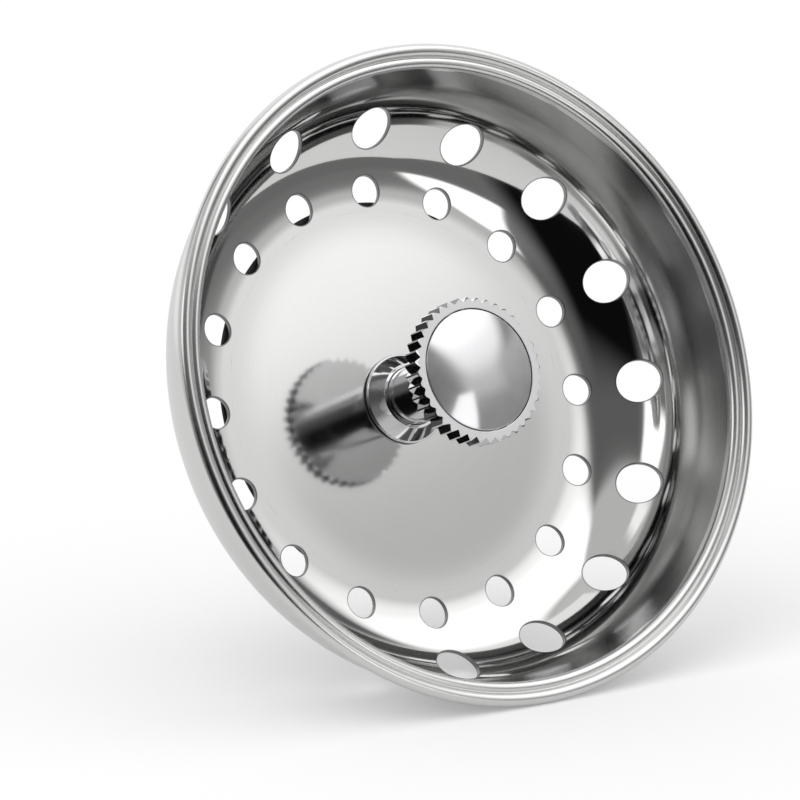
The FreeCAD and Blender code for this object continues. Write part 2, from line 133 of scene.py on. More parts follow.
repeat_round = bpy.data.node_groups.new("repeat_round", "GeometryNodeTree")
for socket, kind in (("Slice", "NodeSocketGeometry"), ("Count", "NodeSocketInt"), ("Weld", "NodeSocketFloat"),
                     ("Material", "NodeSocketMaterial")):
    repeat_round.interface.new_socket(socket, in_out="INPUT", socket_type=kind)
repeat_round.interface.new_socket("Piece", in_out="OUTPUT", socket_type="NodeSocketGeometry")
slice_in = repeat_round.nodes.new("NodeGroupInput")
piece_out = repeat_round.nodes.new("NodeGroupOutput")
places = repeat_round.nodes.new("GeometryNodePoints")
index = repeat_round.nodes.new("GeometryNodeInputIndex")
step = repeat_round.nodes.new("ShaderNodeMath")
step.operation = "DIVIDE"
step.inputs[0].default_value = math.tau
turn = repeat_round.nodes.new("ShaderNodeMath")
turn.operation = "MULTIPLY"
rotation = repeat_round.nodes.new("FunctionNodeAxisAngleToRotation")
copies = repeat_round.nodes.new("GeometryNodeInstanceOnPoints")
real = repeat_round.nodes.new("GeometryNodeRealizeInstances")
weld = repeat_round.nodes.new("GeometryNodeMergeByDistance")
coat = repeat_round.nodes.new("GeometryNodeSetMaterial")
for source, target in (
        (slice_in.outputs["Count"], places.inputs["Count"]), (slice_in.outputs["Count"], step.inputs[1]),
        (index.outputs["Index"], turn.inputs[0]), (step.outputs[0], turn.inputs[1]),
        (turn.outputs[0], rotation.inputs["Angle"]), (rotation.outputs[0], copies.inputs["Rotation"]),
        (places.outputs[0], copies.inputs["Points"]), (slice_in.outputs["Slice"], copies.inputs["Instance"]),
        (copies.outputs[0], real.inputs[0]), (real.outputs[0], weld.inputs[0]),
        (slice_in.outputs["Weld"], weld.inputs["Distance"]), (weld.outputs[0], coat.inputs[0]),
        (slice_in.outputs["Material"], coat.inputs["Material"]), (coat.outputs[0], piece_out.inputs[0])):
    repeat_round.links.new(source, target)
weld_within = 0.000002
round_inputs = {item.name: item.identifier for item in repeat_round.interface.items_tree
                if item.in_out == "INPUT"}


def round_piece(name, patches, count, material, body, node):
    """Repeat a slice round the axis into a whole piece, and seat it on its body in place of its CAD node."""
    piece = bpy.data.objects.new(name, slice_mesh(name, patches))
    scene.collection.objects.link(piece)
    repeat = piece.modifiers.new("repeat", "NODES")
    repeat.node_group = repeat_round
    repeat[round_inputs["Count"]] = count
    repeat[round_inputs["Weld"]] = weld_within
    repeat[round_inputs["Material"]] = material
    mesh = bpy.data.meshes.new_from_object(piece.evaluated_get(bpy.context.evaluated_depsgraph_get()))
    piece.modifiers.remove(repeat)
    piece.data = mesh
    mesh.name = name
    mesh.shade_smooth()
    spots = np.empty(len(mesh.vertices) * 3)
    corners = np.empty(len(mesh.loops), dtype=int)
    facing = np.empty(len(mesh.loops) * 3)
    mesh.vertices.foreach_get("co", spots)
    mesh.loops.foreach_get("vertex_index", corners)
    mesh.attributes["facing"].data.foreach_get("vector", facing)
    mesh.attributes.remove(mesh.attributes["facing"])
    x, y, _ = spots.reshape(-1, 3)[corners].T
    angle = np.arctan2(y, x)
    outward, sideways, upward = facing.reshape(-1, 3).T
    normals = np.stack([outward * np.cos(angle) - sideways * np.sin(angle),
                        outward * np.sin(angle) + sideways * np.cos(angle), upward], axis=1)
    normals /= np.linalg.norm(normals, axis=1, keepdims=True)
    mesh.normals_split_custom_set(normals)
    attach(piece, body)
    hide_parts(node)
    return piece


class Flow:
    """A socket's output in a node tree: sums on it add Math nodes, node() adds others, feed() links it."""

    def __init__(self, tree, socket):
        self.tree = tree
        self.socket = socket

    def node(self, kind, settings, sockets, output=0):
        added = self.tree.nodes.new(kind)
        for name, value in settings.items():
            setattr(added, name, value)
        for name, value in sockets.items():
            if isinstance(value, Flow):
                self.tree.links.new(value.socket, added.inputs[name])
            else:
                added.inputs[name].default_value = value
        return Flow(self.tree, added.outputs[output])

    def feed(self, node, socket):
        self.tree.links.new(self.socket, node.inputs[socket])

    def maths(self, operation, *values):
        return self.node("ShaderNodeMath", {"operation": operation}, dict(enumerate(values)))

    def __add__(self, other):
        return self.maths("ADD", self, other)

    def __sub__(self, other):
        return self.maths("SUBTRACT", self, other)

    def __rsub__(self, other):
        return self.maths("SUBTRACT", other, self)

    def __mul__(self, other):
        return self.maths("MULTIPLY", self, other)

    def __truediv__(self, other):
        return self.maths("DIVIDE", self, other)

    def __pow__(self, other):
        return self.maths("POWER", self, other)

    __radd__ = __add__
    __rmul__ = __mul__

    def rise(self, start, finish):
        """Goes smoothly from 0 to 1 between two values."""
        return self.node("ShaderNodeMapRange", {"interpolation_type": "SMOOTHSTEP"},
                         {"Value": self, "From Min": start, "From Max": finish})

    def split(self):
        parts = self.node("ShaderNodeSeparateXYZ", {}, {"Vector": self}).socket.node
        return [Flow(self.tree, output) for output in parts.outputs]

    def joined(self, across, up):
        return self.node("ShaderNodeCombineXYZ", {}, {"X": self, "Y": across, "Z": up})

    def noise(self, scale, detail):
        return self.node("ShaderNodeTexNoise", {}, {"Vector": self, "Scale": scale, "Detail": detail})

    def tint(self, dark, light):
        """A colour between two, as this value goes from 0 to 1."""
        return self.mixed((*dark, 1), (*light, 1))

    def mixed(self, first, second):
        """A colour between two colours or flows of colour."""
        return self.node("ShaderNodeMix", {"data_type": "RGBA"}, {"Factor": self, 6: first, 7: second}, 2)

    def bump(self, strength, distance):
        return self.node("ShaderNodeBump", {}, {"Strength": strength, "Distance": distance, "Height": self})


def new_finish(name, metallic):
    """A material with its shader, and a flow of the piece's own coordinates."""
    material = bpy.data.materials.new(name)
    material.use_nodes = True
    shader = material.node_tree.nodes["Principled BSDF"]
    shader.inputs["Metallic"].default_value = metallic
    spot = Flow(material.node_tree, material.node_tree.nodes.new("ShaderNodeTexCoord").outputs["Object"])
    return material, shader, spot


punch_round = 0.00009
punch_dark = 0.00022
small_hole_step = 0.00145
large_hole_slope = math.radians(43.8)
small_holes = {"reach": corner_ring + small_hole_step, "slope": math.asin(small_hole_step / corner_radius),
               "tilt": 0, "radius": 0.00193, "low": math.radians(-5), "high": math.radians(21)}
large_holes = {"reach": corner_ring + corner_radius * math.sin(large_hole_slope), "slope": large_hole_slope,
               "tilt": math.radians(18), "radius": 0.00262, "low": math.radians(24), "high": math.radians(64)}
half_turn = math.pi / hole_count
spokes = np.linspace(-half_turn, half_turn, columns + 1)
satin_foot = 0.0077
satin_foot_fade = 0.0008
satin_top = 0.0159
satin_top_fade = 0.0001
rim_fade = 0.0004
floor_fade_before = 0.001
floor_fade_past = 0.0016
outside_shares = (0.67, 0.83)
ring_shares = (0, 0.3, 0.55, 0.75, 0.88, 0.95, 1)
grain_pitch = 0.00009
grain_depth = 0.00002
steel_dark = (0.70, 0.70, 0.69)
steel_light = (0.78, 0.78, 0.775)
# A near-black colour, laid in a ring round each hole's edge as painted shade.
hole_edge_shade = (0.12, 0.12, 0.12)
# The satin colours are the steel's, darkened by about half as painted shade: the inside of the wall is
# painted darker than the polished outside.
satin_shaded_dark = (0.34, 0.34, 0.335)
satin_shaded_light = (0.46, 0.46, 0.455)
satin_low = floor_level + satin_foot
satin_high = floor_level + satin_top
basket_steel, shader, spot = new_finish("basket_steel", 1)
x, y, z = spot.split()
reach = (x * x + y * y) ** 0.5
angle = y.maths("ARCTAN2", y, x)
grain = (reach / grain_pitch).joined(z / grain_pitch, angle * 3).noise(1, 3)
smears = spot.noise(90, 4)
below = z.maths("MAXIMUM", corner_height - z, 0)
beyond = reach - corner_ring
depth = (beyond * beyond + below * below) ** 0.5
outside = depth.rise(*(corner_radius + sheet * share for share in outside_shares))
above_corner = z.rise(satin_low - satin_foot_fade, satin_low + satin_foot_fade)
below_rim = 1 - z.rise(satin_high - satin_top_fade, satin_high + satin_top_fade)
wall = above_corner * below_rim
satin = wall * (1 - outside)
on_floor = 1 - reach.rise(corner_ring - floor_fade_before, corner_ring + floor_fade_past)
folded = angle.maths("PINGPONG", angle, half_turn)
punched = 0
for hole in (small_holes, large_holes):
    lift = z - (corner_height - corner_radius * math.cos(hole["slope"]))
    out = reach * folded.maths("COSINE", folded) - hole["reach"]
    across = out * math.cos(hole["tilt"]) + lift * math.sin(hole["tilt"])
    beside = reach * folded.maths("SINE", folded)
    off_axis = (across * across + beside * beside) ** 0.5
    punched = 1 - off_axis.rise(hole["radius"] + punch_round / 2, hole["radius"] + punch_dark) + punched
on_rim = z.rise(satin_high - satin_top_fade, satin_high + rim_fade)
dull = 0.035 * on_floor + 0.2 * punched + 0.17 * on_rim + 0.1 * outside * wall
(0.06 + dull + 0.03 * (grain - 0.5) + 0.03 * (smears - 0.5)).feed(shader, "Roughness")
shade = grain * 0.6 + smears * 0.4
polished = shade.tint(steel_dark, steel_light)
# Near each hole the polished colour turns to near-black: painted shade in a ring round the hole.
(0.8 * punched).mixed(polished, (*hole_edge_shade, 1)).feed(shader, "Base Color")
(grain * 0.03).bump(0.12, grain_depth).feed(shader, "Normal")
brushed = basket_steel.node_tree.nodes.new("ShaderNodeBsdfPrincipled")
brushed.inputs["Metallic"].default_value = 1
brushed.inputs["Anisotropic"].default_value = 0.5
brushed.inputs["Anisotropic Rotation"].default_value = 0.25
# The brushed inside of the wall is a real satin finish, and its darker colour is painted shade.
shade.tint(satin_shaded_dark, satin_shaded_light).feed(brushed, "Base Color")
(0.2 + 0.1 * (grain - 0.5)).feed(brushed, "Roughness")
grain.bump(0.12, grain_depth).feed(brushed, "Normal")
both = satin.node("ShaderNodeMixShader", {}, {"Fac": satin, 1: Flow(satin.tree, shader.outputs[0]),
                                              2: Flow(satin.tree, brushed.outputs[0])})
both.feed(basket_steel.node_tree.nodes["Material Output"], "Surface")


def punch_edge(hole, radius, face_radius, around):
    """The turn and slope at which a punch comes through a face of the corner, at an angle round its edge."""
    across = radius * math.cos(around)
    side = radius * math.sin(around)
    tilt_up, tilt_out = math.cos(hole["tilt"]), math.sin(hole["tilt"])
    lift = 0
    for _ in range(8):
        x = hole["reach"] + across * tilt_up - lift * tilt_out
        drop = corner_radius * math.cos(hole["slope"]) - across * tilt_out - lift * tilt_up
        out = math.hypot(x, side) - corner_ring
        distance = math.hypot(out, drop)
        gain = drop * tilt_up + out * tilt_out * x / math.hypot(x, side)
        lift += (distance - face_radius) * distance / gain
    return math.atan2(side, x), math.atan2(out, drop)


def face_rings(hole, face_radius, side):
    """Rings of places round a hole on one face of the sheet, from its patch's edge in to its rounded lip."""
    low, high = hole["low"], hole["high"]
    slopes = np.linspace(high, low, columns + 1)
    middle = columns // 2
    border = ([(turn, high) for turn in spokes[middle:]]
              + [(half_turn, slope) for slope in slopes[1:]]
              + [(turn, low) for turn in spokes[::-1][1:]]
              + [(-half_turn, slope) for slope in slopes[::-1][1:]]
              + [(turn, high) for turn in spokes[1:middle + 1]])
    arounds = np.linspace(0, math.tau, len(border))
    lip = [punch_edge(hole, hole["radius"] + punch_round, face_radius, around) for around in arounds]
    rings = []
    for share in ring_shares:
        ring = []
        for edge, inner in zip(border, lip):
            turn, slope = np.add(np.multiply(edge, 1 - share), np.multiply(inner, share))
            lean = max(slope, 0) if side > 0 else slope
            ring.append((corner_ring + face_radius * math.sin(slope), turn,
                         corner_height - face_radius * math.cos(slope),
                         -side * math.sin(lean), 0, side * math.cos(lean)))
        rings.append(ring)
    for roll in np.radians((30, 60, 90)):
        ring = []
        for around in arounds:
            narrow = hole["radius"] + punch_round * (1 - math.sin(roll))
            turn, slope = punch_edge(hole, narrow, face_radius, around)
            sunk = face_radius + side * punch_round * (1 - math.cos(roll))
            inward = Vector((-math.cos(around) * math.cos(hole["tilt"]), -math.sin(around),
                             -math.cos(around) * math.sin(hole["tilt"])))
            inward.rotate(Matrix.Rotation(-turn, 3, "Z"))
            flat = Vector((-side * math.sin(slope), 0, side * math.cos(slope)))
            ring.append((corner_ring + sunk * math.sin(slope), turn, corner_height - sunk * math.cos(slope),
                         *(flat * math.cos(roll) + inward * math.sin(roll))))
        rings.append(ring)
    return rings


def corner_run(radius, start, finish, steps, facing):
    """A run of the corner's inner or outer face, between two slopes."""
    down = math.pi / 2
    return bend((corner_ring, corner_height), radius, start - down, finish - down, steps, facing)


def settled(run):
    """The floor's dome runs out flat before it reaches the corner, so what it mirrors comes upright there."""
    eased = []
    for radius, height, outward, upward in run:
        share = min(1, max(0, (radius - flat_from) / (flat_to - flat_from)))
        lean = math.atan2(outward, upward) * (1 - share * share * (3 - 2 * share))
        eased.append((radius, height, math.sin(lean), math.cos(lean)))
    return eased


flat_from = 0.0185
flat_to = corner_ring - corner_radius * math.sin(dome_slope)
outer_radius = corner_radius + sheet
wall_out, wall_in = math.sin(wall_slope), math.cos(wall_slope)
land_under = dome_height + math.sqrt((dome_radius - sheet) ** 2 - lower_land ** 2)
land_edge = math.acos(land_radius / dome_radius)
lower_edge = math.acos(lower_land / (dome_radius - sheet))
crease_half = math.asin(crease_rise / bead_radius)
roll_grown, bead_grown = roll_radius + crease_round, bead_radius + crease_round
crease_along = (rim_reach ** 2 + roll_grown ** 2 - bead_grown ** 2) / (2 * rim_reach)
crease_above = math.sqrt(roll_grown ** 2 - crease_along ** 2)
crease = (roll_ring + crease_along * math.cos(rim_tilt) - crease_above * math.sin(rim_tilt),
          roll_height + crease_along * math.sin(rim_tilt) + crease_above * math.cos(rim_tilt))
crease_on_bead = math.atan2(crease[1] - bead_height, crease[0] - bead_ring)
crease_on_roll = math.atan2(crease[1] - roll_height, crease[0] - roll_ring)
bead_start = rim_tilt + crease_half - math.pi
under_crease = bend((bead_ring, bead_height), bead_radius, bead_start, crease_on_bead, 40)
under_rim = (roll_ring - (roll_radius - sheet) * wall_out, roll_height + (roll_radius - sheet) * wall_in)
underside = (straight((floor_hole, land_under), (lower_land, land_under))
             + bend((0, dome_height), dome_radius - sheet, lower_edge, math.pi / 2 - dome_slope, 12, -1)
             + corner_run(outer_radius, -dome_slope, small_holes["low"], 1, 1))
between_outside = corner_run(outer_radius, small_holes["high"], large_holes["low"], 3, 1)
wall_and_rim = (corner_run(outer_radius, large_holes["high"], wall_slope, 6, 1)
                + straight((corner_ring + outer_radius * wall_out, corner_height - outer_radius * wall_in),
                           under_rim)[1:]
                + straight(under_rim, under_crease[0][:2]) + under_crease
                + bend(crease, crease_round, crease_on_bead - math.pi, crease_on_roll - math.pi, 8, -1)
                + bend((roll_ring, roll_height), roll_radius, crease_on_roll, math.pi / 2 + wall_slope, 24)
                + corner_run(corner_radius, wall_slope, large_holes["high"], 8, -1))
between_inside = corner_run(corner_radius, large_holes["low"], small_holes["high"], 3, -1)
floor_top = (corner_run(corner_radius, small_holes["low"], -dome_slope, 1, -1)
             + bend((0, dome_height), dome_radius, math.pi / 2 - dome_slope, land_edge, 16)[1:]
             + straight((land_radius, land_height), (floor_hole, land_height))
             + straight((floor_hole, land_height), (floor_hole, land_under)))
basket_runs = (underside, between_outside, wall_and_rim, between_inside, settled(floor_top))
basket_patches = [turned(run, spokes) for run in basket_runs]
for hole in (small_holes, large_holes):
    basket_patches.append(face_rings(hole, corner_radius, 1) + face_rings(hole, outer_radius, -1)[::-1])
round_piece("pressed_basket", basket_patches, hole_count, basket_steel, "basket",
            "basket_shell")

# Collar seal: a thin ring cut from black rubber, pressed between the collar's head and the floor. Its edge
# shows as a dark line round the collar's foot.
seal_low, seal_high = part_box("collar_seal")
turned_edge = 0.00008
side_share = 0.45
straight_on = 0.001


def rounded(places, edge, closed=True, steps=4):
    """An outline through (radius, height) places with its corners rounded off, facing right of its travel."""
    run = []
    for number, place in enumerate(places):
        spot = Vector(place)
        arriving = spot - Vector(places[number - 1])
        leaving = Vector(places[(number + 1) % len(places)]) - spot
        if not closed and number == 0:
            arriving = leaving
        if not closed and number == len(places) - 1:
            leaving = arriving
        heading = math.atan2(arriving.y, arriving.x)
        turn = (math.atan2(leaving.y, leaving.x) - heading + math.pi) % math.tau - math.pi
        bite = math.tan(abs(turn) / 2)
        shorter = min(arriving.length, leaving.length)
        radius = min(edge, side_share * shorter / bite) if bite > straight_on else 0
        side = math.copysign(radius, turn)
        start = spot - arriving.normalized() * radius * bite
        centre = start - side * Vector((math.sin(heading), -math.cos(heading)))
        for share in (range(steps + 1) if radius else (0,)):
            angle = heading + turn * share / steps
            facing = Vector((math.sin(angle), -math.cos(angle)))
            run.append((*(centre + side * facing), *facing))
    return run + run[:1] if closed else run


def black_rubber(name, grain_scale):
    """Moulded rubber: matt black with a fine mould grain and a dusty bloom."""
    mould_depth = 0.00004
    material, shader, spot = new_finish(name, 0)
    bloom = spot.noise(240, 4)
    mould = spot.noise(grain_scale, 2)
    bloom.tint((0.012, 0.012, 0.012), (0.03, 0.03, 0.031)).feed(shader, "Base Color")
    (0.5 + 0.25 * bloom).feed(shader, "Roughness")
    mould.bump(0.25, mould_depth).feed(shader, "Normal")
    return material


def flat_ring(name, bore, low, high, material, body, node):
    """A flat turned ring with its edges broken."""
    run = rounded([(bore, low.z), (high.x, low.z), (high.x, high.z), (bore, high.z)], turned_edge)
    round_piece(name, [turned(run, spokes[::2])], hole_count, material, body, node)


stopper_rubber = black_rubber("stopper_rubber", 3500)
flat_ring("foot_seal", floor_hole, seal_low, seal_high, stopper_rubber, "basket",
          "collar_seal")

# Collar: a turned brass bush, chromed, that guides the stem. Its conical head, with a small step at its
# foot, sits on the seal, its shank goes down through the floor to a nut, and a groove in its bore holds the
# friction ring.
collar_low, collar_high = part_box("collar")
ring_low, ring_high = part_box("friction_ring")
running_fit = 0.00005
collar_head = collar_high.x
collar_shank = floor_hole - running_fit
collar_bore = 0.00365
collar_lip = 0.0004
collar_edge = 0.0003
collar_step = 0.00022
groove_radius = 0.00442
groove_half = 0.000475
groove_middle = (ring_low.z + ring_high.z) / 2


def chrome(name, roughness):
    """Bright chrome plate: nearly a mirror, with fine turning marks and a few wiped smears."""
    mark_depth = 0.00001
    material, shader, spot = new_finish(name, 1)
    x, y, z = spot.split()
    marks = ((x * x + y * y) ** 0.5 / grain_pitch).joined(z / grain_pitch, 0).noise(1, 2)
    smears = spot.noise(160, 3)
    (roughness + 0.03 * (marks - 0.5) + 0.04 * (smears - 0.5)).feed(shader, "Roughness")
    smears.tint((0.74, 0.74, 0.75), (0.8, 0.8, 0.81)).feed(shader, "Base Color")
    marks.bump(0.03, mark_depth).feed(shader, "Normal")
    return material


polished_chrome = chrome("polished_chrome", 0.04)
cone_foot = seal_high.z + collar_edge
groove_low, groove_high = groove_middle - groove_half, groove_middle + groove_half
collar_run = rounded([(collar_bore, collar_low.z), (collar_shank, collar_low.z), (collar_shank, seal_high.z),
                      (collar_head, seal_high.z), (collar_head, cone_foot),
                      (collar_head - collar_step, cone_foot), (collar_bore + collar_lip, collar_high.z),
                      (collar_bore, collar_high.z), (collar_bore, groove_high), (groove_radius, groove_high),
                      (groove_radius, groove_low), (collar_bore, groove_low)], turned_edge)
round_piece("guide_collar", [turned(collar_run, spokes)], hole_count, polished_chrome, "basket",
            "collar")

# Friction ring: a small moulded rubber ring in the collar's groove. It grips the stem, so the stopper stays
# where it is put.
ring_section = (ring_high.z - ring_low.z) / 2
ring_centre = (ring_high.x - ring_section, groove_middle)
ring_run = bend(ring_centre, ring_section, 0, math.tau, 20)
round_piece("friction_o_ring", [turned(ring_run, spokes[::2])], hole_count, stopper_rubber, "basket",
            "friction_ring")

# Lock washer: stamped from spring steel with teeth round its edge, squeezed between the floor and the
# collar's nut so that the nut stays tight.
lock_low, lock_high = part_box("collar_lock_washer")
lock_teeth = 12
lock_depth = 0.0008
lock_gap = 0.0009
lock_half = math.pi / lock_teeth
gap_half = math.atan(lock_gap / 2 / (lock_high.x - lock_depth / 2))


def plain_steel(name, pitch):
    """Plain steel as it comes off the press or the lathe: grey, with tool marks round it and dull patches."""
    tool_depth = 0.00003
    material, shader, spot = new_finish(name, 1)
    x, y, z = spot.split()
    marks = ((x * x + y * y) ** 0.5 / pitch).joined(z / pitch, 0).noise(1, 3)
    dull = spot.noise(420, 3)
    (0.28 + 0.12 * marks + 0.12 * dull).feed(shader, "Roughness")
    (0.5 * marks + 0.5 * dull).tint((0.5, 0.5, 0.49), (0.62, 0.62, 0.61)).feed(shader, "Base Color")
    marks.bump(0.2, tool_depth).feed(shader, "Normal")
    return material


def round_profile(places, edge):
    """A slice's edge seen from above, through (radius, turn) places, as (radius, turn, outward, sideways)."""
    flat = [(radius * math.cos(turn), radius * math.sin(turn)) for radius, turn in places]
    profile = []
    for x, y, across, along in rounded(flat, edge, closed=False):
        turn = math.atan2(y, x)
        profile.append((math.hypot(x, y), turn, across * math.cos(turn) + along * math.sin(turn),
                        along * math.cos(turn) - across * math.sin(turn)))
    return profile


def toothed(profile, low, high, bevel_from, bevel_slope, inside):
    """A slice whose edge follows a profile: its side, its two bevelled faces and its turned inside."""
    lean = math.hypot(bevel_slope, 1)
    drops = [max(0, edge[0] - bevel_from) * bevel_slope for edge in profile]
    side = [[(radius, turn, height + lift * drop, outward, sideways, 0)
             for (radius, turn, outward, sideways), drop in zip(profile, drops)]
            for height, lift in ((low, 1), (high, -1))]
    patches = [side, turned(inside, [edge[1] for edge in profile])]
    for height, up, inner in ((low, -1, inside[-1][0]), (high, 1, inside[0][0])):
        shoulder = [(min(radius, bevel_from), turn) for radius, turn, _, _ in profile]
        bevel_facing = (bevel_slope / lean, 0, up / lean)
        rim = [(edge[0], edge[1], height - up * drop, *bevel_facing) for edge, drop in zip(profile, drops)]
        patches.append([rim, [(*place, height, *bevel_facing) for place in shoulder]])
        patches.append([[(*place, height, 0, 0, up) for place in shoulder],
                        [(inner, place[1], height, 0, 0, up) for place in shoulder]])
    return patches


fixing_steel = plain_steel("fixing_steel", 0.00016)
lock_root = lock_high.x - lock_depth
lock_tip = [(lock_high.x, turn) for turn in np.linspace(gap_half - lock_half, lock_half - gap_half, 9)]
lock_profile = round_profile([(lock_root, -lock_half), (lock_root, gap_half - lock_half), *lock_tip,
                              (lock_root, lock_half - gap_half), (lock_root, lock_half)], turned_edge)
lock_mouth = floor_hole + turned_edge
lock_bore = rounded([(lock_mouth, lock_high.z), (floor_hole, lock_high.z), (floor_hole, lock_low.z),
                     (lock_mouth, lock_low.z)], turned_edge, closed=False)
lock_patches = toothed(lock_profile, lock_low.z, lock_high.z, lock_high.x, 1, lock_bore)
round_piece("lock_washer", lock_patches, lock_teeth, fixing_steel, "basket",
            "collar_lock_washer")

# Collar nut: a thin hexagon nut turned from plain steel bar and chamfered on both faces. It screws on the
# collar's shank and clamps the collar and its washer to the floor.
collar_nut_low, collar_nut_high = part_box("collar_nut")
collar_nut_flats = 0.014
chamfer_slope = math.tan(math.radians(30))
thread_mouth = 0.0004


def hexagon_nut(name, flats, bore, low, high, body, node):
    """A chamfered hexagon nut with a countersunk bore, repeated from one of its six sides."""
    turns = np.linspace(-math.pi / 6, math.pi / 6, 17)
    profile = [(flats / 2 / math.cos(turn), turn, math.cos(turn), -math.sin(turn)) for turn in turns]
    inside = rounded([(bore + 2 * thread_mouth, high), (bore + thread_mouth, high),
                      (bore, high - thread_mouth), (bore, low + thread_mouth),
                      (bore + thread_mouth, low), (bore + 2 * thread_mouth, low)], turned_edge, closed=False)
    patches = toothed(profile, low, high, flats / 2, chamfer_slope, inside)
    round_piece(name, patches, 6, fixing_steel, body, node)


hexagon_nut("collar_lock_nut", collar_nut_flats, floor_hole, collar_nut_low.z, collar_nut_high.z, "basket",
            "collar_nut")

# Rubber stopper: a moulded black plug with drafted sides and a wide thin lip that covers the drain. The lip
# is limp and lies a little to one side. The plug is recessed above for its plate and hub, and below for the
# stem's nut.
plug_low, plug_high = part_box("rubber_stopper")
plate_low, plate_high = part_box("backing_plate")
hub_low, hub_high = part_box("stopper_hub")
plug_foot = 0.0131
plug_shoulder = 0.0155
lip_thickness = 0.0004
lip_root = 0.0015
plug_edge = 0.0004
hub_radius = 0.005
nut_recess = 0.00807
recess_room = 0.0002
plate_recess = plate_high.x + recess_room
lip_sway = 0.0006
lip_sway_turn = math.radians(100)
plug_columns = 192
recess_ceiling = hub_low.z + recess_room
plug_run = rounded([(nut_recess, plug_low.z), (plug_foot, plug_low.z),
                    (plug_shoulder, plug_high.z - lip_root), (plug_high.x, plug_high.z - lip_thickness),
                    (plug_high.x, plug_high.z), (plate_recess, plug_high.z), (plate_recess, plate_low.z),
                    (hub_radius, plate_low.z), (hub_radius, recess_ceiling), (nut_recess, recess_ceiling)],
                   plug_edge)
plug_rows = []
for row in turned(plug_run, np.linspace(0, math.tau, plug_columns + 1)):
    share = max(0, row[0][0] - plug_shoulder) / (plug_high.x - plug_shoulder)
    plug_rows.append([(radius - share * lip_sway * (1 - math.cos(turn - lip_sway_turn)), turn, *rest)
                      for radius, turn, *rest in row])
round_piece("drain_plug", [plug_rows], 1, stopper_rubber, "stopper", "rubber_stopper")

# Backing plate: a thin disc blanked from stainless sheet. It lies in the stopper's upper recess, under the
# hub's head, and keeps the rubber flat.
plate_bore = hub_radius + running_fit
flat_ring("stiffening_plate", plate_bore, plate_low, plate_high, fixing_steel, "stopper",
          "backing_plate")

# Stopper hub: a flanged bush moulded in natural acetal. The rubber holds it, with the plate under its head,
# and the stem turns freely in it.
hub_bore = 0.00305
hub_head = 0.001
skin_depth = 0.00002
acetal, shader, spot = new_finish("natural_acetal", 0)
cloud = spot.noise(180, 4)
cloud.tint((0.8, 0.79, 0.74), (0.88, 0.87, 0.83)).feed(shader, "Base Color")
(0.35 + 0.2 * cloud).feed(shader, "Roughness")
spot.noise(2600, 2).bump(0.1, skin_depth).feed(shader, "Normal")
hub_run = rounded([(hub_bore, hub_low.z), (hub_radius, hub_low.z), (hub_radius, hub_high.z - hub_head),
                   (hub_high.x, hub_high.z - hub_head), (hub_high.x, hub_high.z), (hub_bore, hub_high.z)],
                  turned_edge)
round_piece("swivel_hub", [turned(hub_run, spokes[::2])], hole_count, acetal, "stopper",
            "stopper_hub")

# Stem: a turned and chromed brass rod. Its polished neck slides in the collar, its journal turns in the
# hub, its lower end is threaded for the nut, and its spigot seats the knob over a tapped hole.
stem_low, stem_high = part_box("stem")
knob_low, knob_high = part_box("knob")
screw_low, screw_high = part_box("knob_screw")
neck_radius = stem_high.x
journal_radius = hub_bore - running_fit
thread_radius = 0.0025
thread_bevel = 0.0003
shoulder_play = 0.00005
spigot_step = 0.0006
spigot_radius = neck_radius - spigot_step
screw_hole = 0.00205
screw_spare = 0.0008
journal_foot = hub_low.z - shoulder_play
shoulder = hub_high.z + shoulder_play
hole_end = screw_low.z - screw_spare
stem_run = rounded([(0, stem_low.z), (thread_radius - thread_bevel, stem_low.z),
                    (thread_radius, stem_low.z + thread_bevel), (thread_radius, journal_foot),
                    (journal_radius, journal_foot), (journal_radius, shoulder), (neck_radius, shoulder),
                    (neck_radius, knob_low.z), (spigot_radius, knob_low.z), (spigot_radius, stem_high.z),
                    (screw_hole, stem_high.z), (screw_hole, hole_end), (0, hole_end - screw_hole)],
                   turned_edge, closed=False)
round_piece("pull_stem", [turned(stem_run, spokes)], hole_count, polished_chrome, "knob",
            "stem")

# Washers and nut on the stem's lower end: a plain washer under the hub, a split spring washer that locks
# the nut, and a thin hexagon nut. They are plain steel and stay in the stopper's lower recess.
washer_low, washer_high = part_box("stem_washer")
spring_low, spring_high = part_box("spring_washer")
stem_nut_low, stem_nut_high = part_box("stem_nut")
washer_bore = thread_radius + running_fit
stem_nut_flats = 0.008
spring_turn = math.radians(345)
spring_columns = 115
flat_ring("hub_washer", washer_bore, washer_low, washer_high, fixing_steel, "knob",
          "stem_washer")
spring_section = [(washer_bore, spring_low.z), (spring_high.x, spring_low.z), (spring_high.x, spring_high.z),
                  (washer_bore, spring_high.z)]
spring_turns = np.linspace(0, spring_turn, spring_columns + 1)
spring_patches = [turned(rounded(spring_section, turned_edge), spring_turns)]
for end, sideways in ((0, -1), (spring_turn, 1)):
    spring_patches.append([[(radius, end, height, 0, sideways, 0) for height in (spring_low.z, spring_high.z)]
                           for radius in (washer_bore, spring_high.x)])
round_piece("split_washer", spring_patches, 1, fixing_steel, "knob", "spring_washer")
hexagon_nut("stem_lock_nut", stem_nut_flats, washer_bore, stem_nut_low.z, stem_nut_high.z, "knob", "stem_nut")

